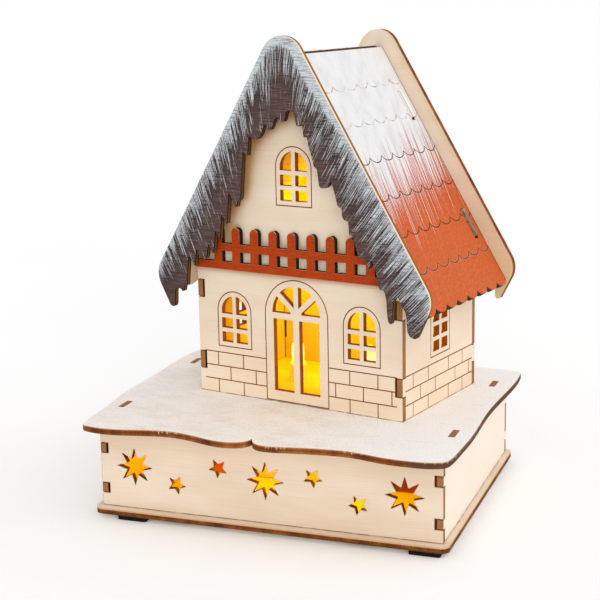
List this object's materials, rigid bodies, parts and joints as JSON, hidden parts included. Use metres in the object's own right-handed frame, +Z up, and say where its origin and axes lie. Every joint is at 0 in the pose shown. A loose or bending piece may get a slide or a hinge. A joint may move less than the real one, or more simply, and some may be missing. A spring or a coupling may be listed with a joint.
{
  "type": "lit wooden house lantern",
  "caption": "Small lit plywood house with a tiled roof, an icicle gable board and a balcony fence, standing at an angle on a plywood box with a snowy top and sawn stars.",
  "frame": {"origin": "on the floor, under the middle of the whole object's box", "axes": "+Z up, -Y towards the front panel with the stars, +X to its right"},
  "size_m": [0.1875, 0.1654, 0.2285],
  "materials": {
    "bare_plywood": "bare, laser cut",
    "snow_paint": "white wash",
    "roof_paint": "matt paint, dry brushed",
    "dark_paint": "matt stain, dry brushed",
    "red_paint": "matt paint",
    "felt": "felt",
    "case_plastic": "fine grain",
    "switch_plastic": "smooth",
    "cell_wrap": "gloss",
    "spring_metal": "nickel plate",
    "lamp_glow": "clear, lit",
    "collar_plastic": "smooth"
  },
  "bodies": {
    "house_on_base": {"base_bottom_plate": "bare_plywood", "base_front_panel": "bare_plywood", "base_back_panel": "bare_plywood", "base_left_panel": "bare_plywood", "base_right_panel": "bare_plywood", "base_top_plate": "snow_paint", "house_front_wall": "bare_plywood", "house_back_wall": "bare_plywood", "house_left_wall": "bare_plywood", "house_right_wall": "bare_plywood", "roof_left_panel": "roof_paint", "roof_right_panel": "roof_paint", "front_icicle_board": "dark_paint", "rear_gable_board": "bare_plywood", "balcony_fence": "red_paint", "foot_front_left": "felt", "foot_front_right": "felt", "foot_back_left": "felt", "foot_back_right": "felt", "battery_case": "case_plastic", "switch_body": "switch_plastic", "battery_cell_front": "cell_wrap", "battery_cell_rear": "cell_wrap", "battery_link_contact": "spring_metal", "battery_minus_contact": "spring_metal", "battery_plus_contact": "spring_metal", "lamp_house_left": "lamp_glow", "lamp_collar_house_left": "collar_plastic", "lamp_house_right": "lamp_glow", "lamp_collar_house_right": "collar_plastic", "lamp_base_left": "lamp_glow", "lamp_collar_base_left": "collar_plastic", "lamp_base_right": "lamp_glow", "lamp_collar_base_right": "collar_plastic"},
    "lid": {"battery_lid": "case_plastic"},
    "slider": {"switch_slider": "switch_plastic"}
  },
  "joints": [
    {"name": "lid_slide", "type": "slide", "parent": "house_on_base", "child": "lid", "axis": [0, 1, 0], "range_m": [0, 0.037]},
    {"name": "switch_slide", "type": "slide", "parent": "house_on_base", "child": "slider", "axis": [0, 1, 0], "range_m": [0, 0.003]}
  ]
}
